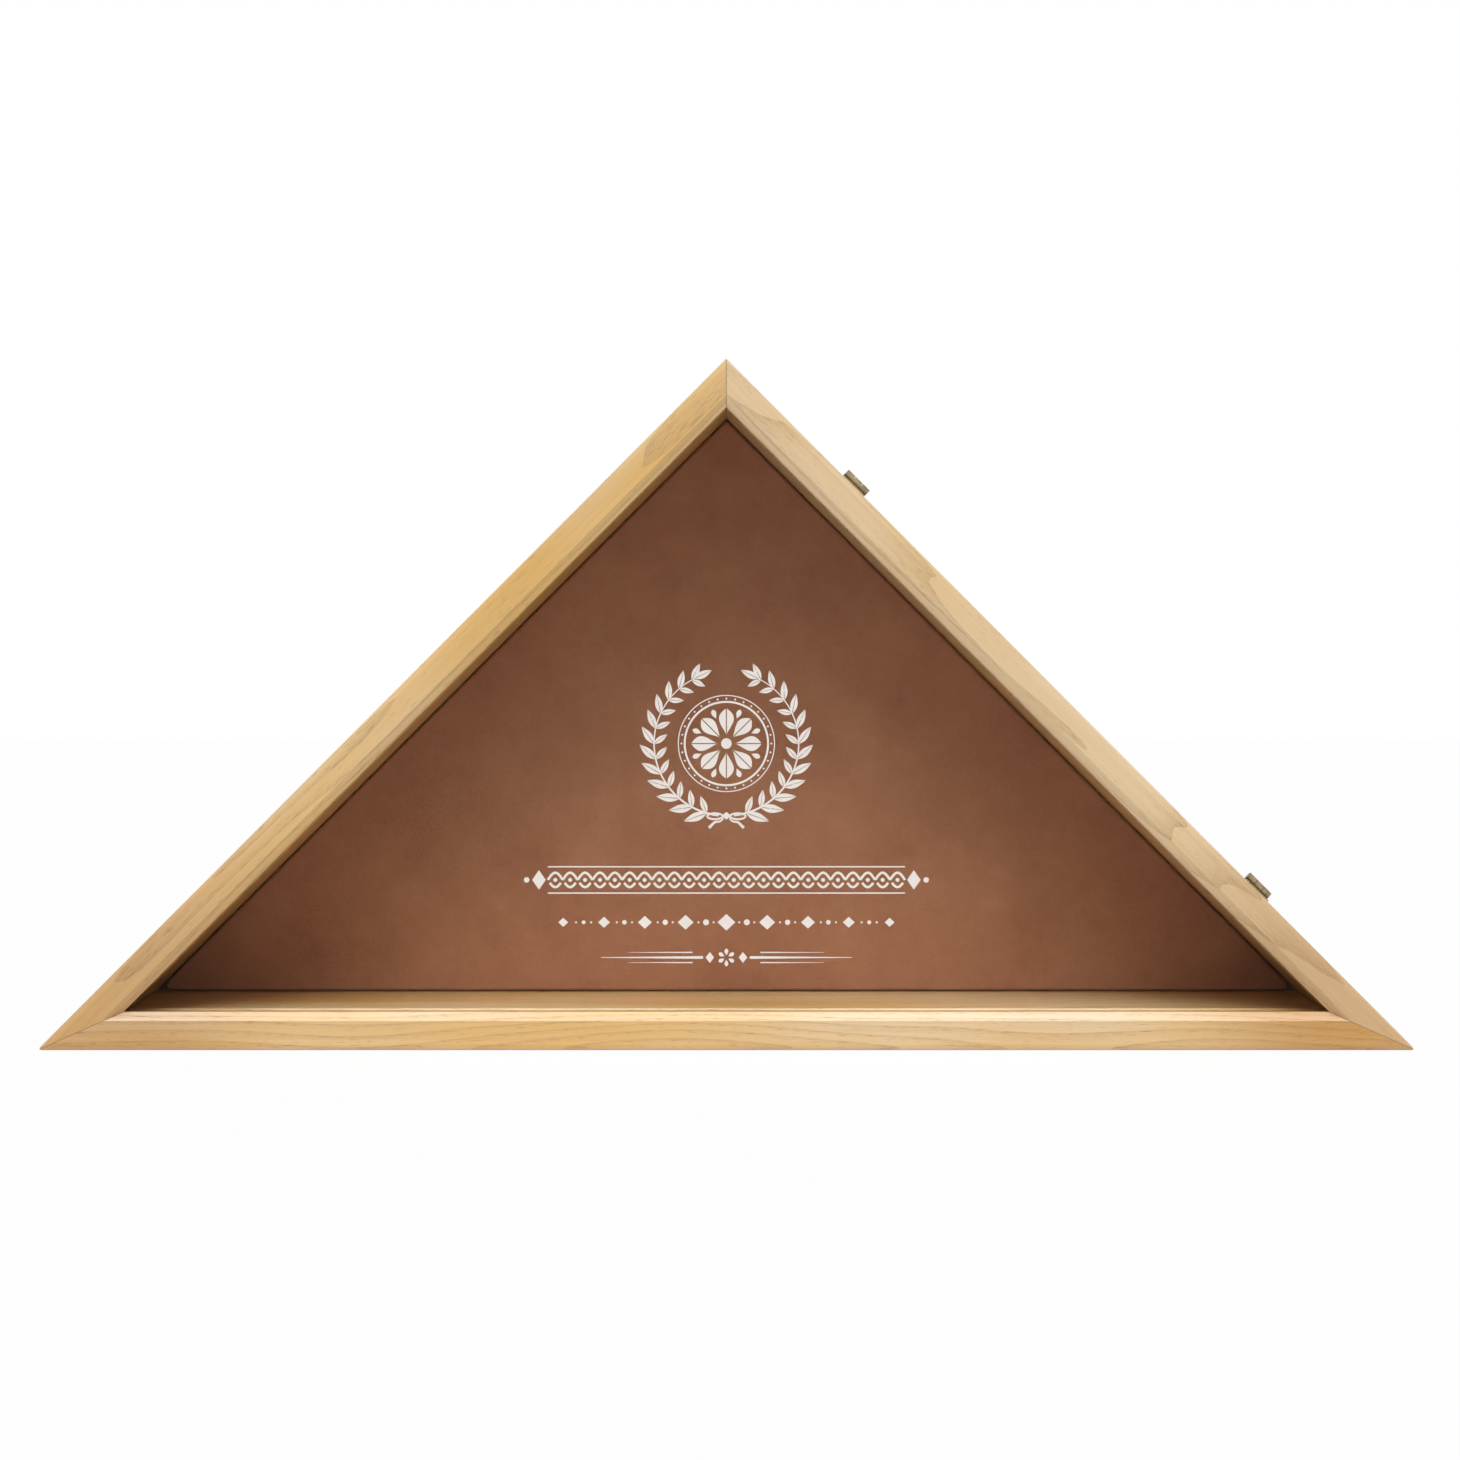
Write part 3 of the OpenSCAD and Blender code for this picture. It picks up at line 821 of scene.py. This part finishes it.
def etch_bow(etching, z):
    """The ribbon that ties the branches."""
    loop_steps, tail_steps = 24, 11
    etching.lozenge(0, z, half_w=2.4, half_h=1.8)
    for side in (1, -1):
        loop = []
        for i in range(loop_steps + 1):
            turn = math.tau * i / loop_steps
            out = 5.4 - 3.6 * math.cos(turn)
            loop.append((side * out, z + 1.4 * math.sin(turn) - 0.2))
        etching.line(loop, width=0.9)
        tail = []
        for i in range(tail_steps + 1):
            out, ripple = 1.4 + 0.62 * i, 0.5 * math.sin(i * 0.7)
            tail.append((side * out, z - 1.2 - 0.36 * i - ripple))
        etching.line(tail, width=0.7, end_width=1.36)


def etch_plait(etching, width):
    """A band of two strands that cross over and under, between two rules."""
    swing, pitch, steps = 3.4, 14.0, 16
    clear, rule_steps = 0.13, 8
    count = int(width / pitch) - 1
    reach = count * pitch / 2
    for strand, sign in enumerate((-1, 1)):
        for half in range(2 * count):
            # Every second crossing is passed underneath and so is left clear.
            over = (half + strand) % 2
            start, end = (0.0, 1.0) if over else (clear, 1 - clear)
            path = []
            for i in range(steps + 1):
                t = half + start + (end - start) * i / steps
                z = sign * swing * math.sin(math.pi * t)
                path.append((t * pitch / 2 - reach, z))
            etching.line(path, width=1.15)
    for k in range(2 * count):
        etching.dot((k + 0.5) * pitch / 2 - reach, 0, radius=0.95, steps=16)
    for side in (1, -1):
        for z in (6.2, -6.2):
            xs = [side * reach * i / rule_steps for i in range(rule_steps + 1)]
            etching.line([(x, z) for x in xs], width=0.6)
        etching.lozenge(side * (reach + 4.2), 0, half_w=3.2, half_h=4.6)
        etching.dot(side * (reach + 10.0), 0, radius=1.3)


def etch_row(etching, width):
    """Lozenges and beads in turn, smaller towards the ends."""
    pitch, loss = 9.6, 0.45
    half_count = int(width / 2 / pitch)
    for k in range(-half_count, half_count + 1):
        size = 1 - loss * abs(k) / half_count
        if k % 2:
            etching.dot(k * pitch, 0, radius=1.5 * size)
            continue
        etching.lozenge(k * pitch, 0, half_w=4.2 * size, half_h=3.9 * size)
        for side in (1, -1):
            if abs(k + side) <= half_count:
                etching.dot((k + side * 0.63) * pitch, 0, radius=0.5, steps=10)


def etch_rule(etching, width):
    """A tapered rule on each side of a small flower."""
    steps, petals = 12, 6
    long_reach = width / 2
    short_reach = long_reach * 0.78
    # Each line's height, where it starts and ends, and its width.
    lines = (
        (0.0, 11.0, long_reach, 1.3),
        (2.4, 16.0, short_reach, 0.6),
        (-2.4, 16.0, short_reach, 0.6),
    )
    for side in (1, -1):
        for z, start, reach, thick in lines:
            xs = [start + (reach - start) * (i / steps) for i in range(steps + 1)]
            etching.line([(side * x, z) for x in xs], thick, end_width=thick * 0.2)
        etching.lozenge(side * 7.8, 0, half_w=2.0, half_h=2.6)
    for i in range(petals):
        turn = math.tau * (i + 0.5) / petals
        etching.petal(turn, start=1.0, length=3.2, width=1.9)


# ---------------------------------------------------------------- stage

def white_rays(tree):
    """1 for what is seen, straight or in glass or metal, and 0 for light
    that a matt surface receives."""
    path = tree.add("LightPath").outputs
    seen = tree.math("MAXIMUM", path["Is Camera Ray"], path["Is Glossy Ray"])
    seen = tree.math("MAXIMUM", seen, path["Is Transmission Ray"])
    direct = tree.math("LESS_THAN", path["Diffuse Depth"], 0.5)
    return tree.math("MULTIPLY", seen, direct)


def make_floor(own):
    """A pale floor that shows the case's shadow and is otherwise white."""
    material, tree, shader, output = new_material("Pale floor")
    tree.fill(shader, {
        "Base Color": own.floor, "Roughness": 0.9, "Specular IOR Level": 0.1,
    })
    white = tree.add("Emission", {"Color": (1, 1, 1), "Strength": 1.0})
    share = tree.math("MULTIPLY", white_rays(tree), own.floor_white)
    mix = tree.add("MixShader", {0: share, 1: shader, 2: white})
    tree.put(output.inputs["Surface"], mix)
    reach = own.floor_reach
    corners = ((-reach, -reach), (reach, -reach), (reach, reach), (-reach, reach))
    bm = bmesh.new()
    bm.faces.new([bm.verts.new((x, y, 0)) for x, y in corners])
    floor = new_object("floor", bm, material)


def make_world(strength):
    """An even world, white where it is seen or mirrored."""
    world = bpy.data.worlds.new("Studio")
    bpy.context.scene.world = world
    world.use_nodes = True
    tree = Tree(world.node_tree)
    tree.nodes.clear()
    level = tree.spread(white_rays(tree), 0.0, 1.0, strength, 1.0)
    sky = tree.add("Background", {"Color": (1, 1, 1), "Strength": level})
    tree.add("OutputWorld", {"Surface": sky})


def make_camera(own):
    """A camera square to the door that looks down a little."""
    data = bpy.data.cameras.new("camera")
    data.sensor_width = 36
    drop = own.camera_z - own.aim_z
    reach = math.hypot(own.camera_distance, drop)
    data.lens = data.sensor_width * reach / own.field_w
    camera = bpy.data.objects.new("camera", data)
    front_y = CAD_BOX[0][1]
    camera.location = (own.camera_x, front_y - own.camera_distance, own.camera_z)
    dip = math.atan2(drop, own.camera_distance)
    camera.rotation_euler = (math.pi / 2 - dip, 0, 0)
    bpy.context.scene.collection.objects.link(camera)
    bpy.context.scene.camera = camera


def make_lamp(own):
    """A soft lamp high above the front, as even as daylight."""
    data = bpy.data.lights.new("lamp", "SUN")
    data.energy = own.key_strength
    data.angle = own.key_softness
    lamp = bpy.data.objects.new("lamp", data)
    lamp.rotation_euler = (math.pi / 2 - own.key_height, 0, -own.key_side)
    bpy.context.scene.collection.objects.link(lamp)


# ---------------------------------------------------------------- operators

class FLAG_OT_finish_boards(bpy.types.Operator):
    """Lacquered oak for the boards of the case, plain wood for the splines"""
    bl_idname = "flag_case.finish_boards"
    bl_label = "Finish boards"

    def execute(self, context):
        for place, (side, turn, gold, meets) in enumerate(SIDES, FIRST_BOARD):
            board = oak(f"Oak {side} board", turn, place, gold, meets)
            give("base_board" if side == "base" else f"{side}_side_board", board)
        spline = oak("Spline wood", 0, SPLINES, gold=0.5, darken=0.35)
        for node in ("apex_spline", "left_corner_spline", "right_corner_spline"):
            give(node, spline)
        return {"FINISHED"}


class FLAG_OT_finish_door(bpy.types.Operator):
    """Lacquered oak for the door's rails and for the strips behind its glass"""
    bl_idname = "flag_case.finish_door"
    bl_label = "Finish door"

    def execute(self, context):
        for i, (side, turn, gold, meets) in enumerate(SIDES):
            rail = oak(f"Oak door {side} rail", turn, FIRST_RAIL + i, gold, meets)
            give(f"door_{side}_rail", rail)
            stop = oak(f"Oak {side} glass stop", turn, FIRST_STOP + i, gold)
            give(f"{side}_glass_stop", stop)
        return {"FINISHED"}


class FLAG_OT_finish_back(bpy.types.Operator):
    """Fibreboard for the back panel"""
    bl_idname = "flag_case.finish_back"
    bl_label = "Finish back"

    def execute(self, context):
        give("back_panel", fibreboard())
        return {"FINISHED"}


class FLAG_OT_cover_backing(bpy.types.Operator):
    """The backing board in velvet"""
    bl_idname = "flag_case.cover_backing"
    bl_label = "Cover backing"

    def execute(self, context):
        board = velvet_board_mesh()
        piece = new_piece("velvet_covered_board", board, velvet(), "case")
        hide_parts("velvet_backing")
        return {"FINISHED"}


class FLAG_OT_finish_hinges(bpy.types.Operator):
    """Antique brass for the hinges, their pins and screws"""
    bl_idname = "flag_case.finish_hinges"
    bl_label = "Finish hinges"

    def execute(self, context):
        own = context.scene.flag_metal
        leaf = metal(
            "Antique brass", own.brass, own.patina,
            patina=0.8, roughness=0.30, coarse=7.0)
        pin = metal(
            "Rubbed brass", own.brass, own.patina, patina=0.4, roughness=0.28)
        for end in ("upper", "lower"):
            give(f"{end}_hinge_case_leaf", leaf)
            give(f"{end}_hinge_door_leaf", leaf)
            give(f"{end}_hinge_pin", pin)
        give("case_hinge_screws", pin)
        give("door_hinge_screws", pin)
        return {"FINISHED"}


class FLAG_OT_finish_fasteners(bpy.types.Operator):
    """Zinc plate for hangers, screws and nails, nickel for the magnets"""
    bl_idname = "flag_case.finish_fasteners"
    bl_label = "Finish fasteners"

    def execute(self, context):
        own = context.scene.flag_metal
        dull_steel, dull_nickel = dim(own.steel, 0.45), dim(own.nickel, 0.7)
        zinc = metal(
            "Zinc plated steel", own.steel, dull_steel,
            patina=0.6, roughness=0.32, coarse=8.0)
        plain = metal(
            "Bright steel", own.steel, dull_steel, patina=0.3, roughness=0.25)
        nickel = metal(
            "Nickel plate", own.nickel, dull_nickel, patina=0.4, roughness=0.16)
        finishes = {
            "left_hanger": zinc, "right_hanger": zinc,
            "hanger_screws": zinc, "back_panel_screws": zinc,
            "door_v_nails": plain, "glass_stop_brads": plain,
            "case_magnets": nickel, "door_magnets": nickel,
        }
        for node, finish in finishes.items():
            give(node, finish)
        return {"FINISHED"}


class FLAG_OT_finish_glass(bpy.types.Operator):
    """Clear glass for the pane"""
    bl_idname = "flag_case.finish_glass"
    bl_label = "Finish glass"

    def execute(self, context):
        give("glass_pane", clear_glass())
        return {"FINISHED"}


class FLAG_OT_etch_glass(bpy.types.Operator):
    """A wreath and three bands of ornament etched on the glass"""
    bl_idname = "flag_case.etch_glass"
    bl_label = "Etch glass"

    def execute(self, context):
        own = context.scene.flag_etching
        frost = frosted_glass()
        ornaments = (
            ("etched_wreath", own.wreath_z, etch_wreath, own.wreath_r),
            ("etched_plait", own.band_z, etch_plait, own.band_w),
            ("etched_lozenges", own.row_z, etch_row, own.row_w),
            ("etched_rule", own.rule_z, etch_rule, own.rule_w),
        )
        for name, middle_z, draw, size in ornaments:
            etching = Etching(middle_z)
            draw(etching, size / MM)
            etching.piece(name, frost)
        return {"FINISHED"}


class FLAG_OT_set_stage(bpy.types.Operator):
    """Floor, world, lamp and camera"""
    bl_idname = "flag_case.set_stage"
    bl_label = "Set stage"

    def execute(self, context):
        own = context.scene.flag_stage
        make_floor(own)
        make_world(own.world_strength)
        make_camera(own)
        make_lamp(own)
        return {"FINISHED"}


# ---------------------------------------------------------------- add-on

STEPS = (
    FLAG_OT_finish_boards,
    FLAG_OT_finish_back,
    FLAG_OT_cover_backing,
    FLAG_OT_finish_door,
    FLAG_OT_finish_glass,
    FLAG_OT_etch_glass,
    FLAG_OT_finish_hinges,
    FLAG_OT_finish_fasteners,
    FLAG_OT_set_stage,
)


class FLAG_PT_case(bpy.types.Panel):
    """Steps and settings of the display case"""
    bl_label = "Flag Display Case"
    bl_idname = "FLAG_PT_case"
    bl_space_type = "VIEW_3D"
    bl_region_type = "UI"
    bl_category = "Flag Case"

    def draw(self, context):
        for step in STEPS:
            self.layout.operator(step.bl_idname)
        for group, settings in SETTINGS.items():
            own = getattr(context.scene, group)
            box = self.layout.box()
            for name in settings.__annotations__:
                box.prop(own, name)


def register():
    for group, settings in SETTINGS.items():
        bpy.utils.register_class(settings)
        setattr(bpy.types.Scene, group, bpy.props.PointerProperty(type=settings))
    for step in STEPS:
        bpy.utils.register_class(step)
    bpy.utils.register_class(FLAG_PT_case)


def unregister():
    bpy.utils.unregister_class(FLAG_PT_case)
    for step in reversed(STEPS):
        bpy.utils.unregister_class(step)
    for group, settings in SETTINGS.items():
        delattr(bpy.types.Scene, group)
        bpy.utils.unregister_class(settings)


def main():
    register()
    bpy.context.scene.view_settings.view_transform = "Standard"
    for step in STEPS:
        group, name = step.bl_idname.split(".")
        getattr(getattr(bpy.ops, group), name)()


if __name__ == "__main__":
    main()
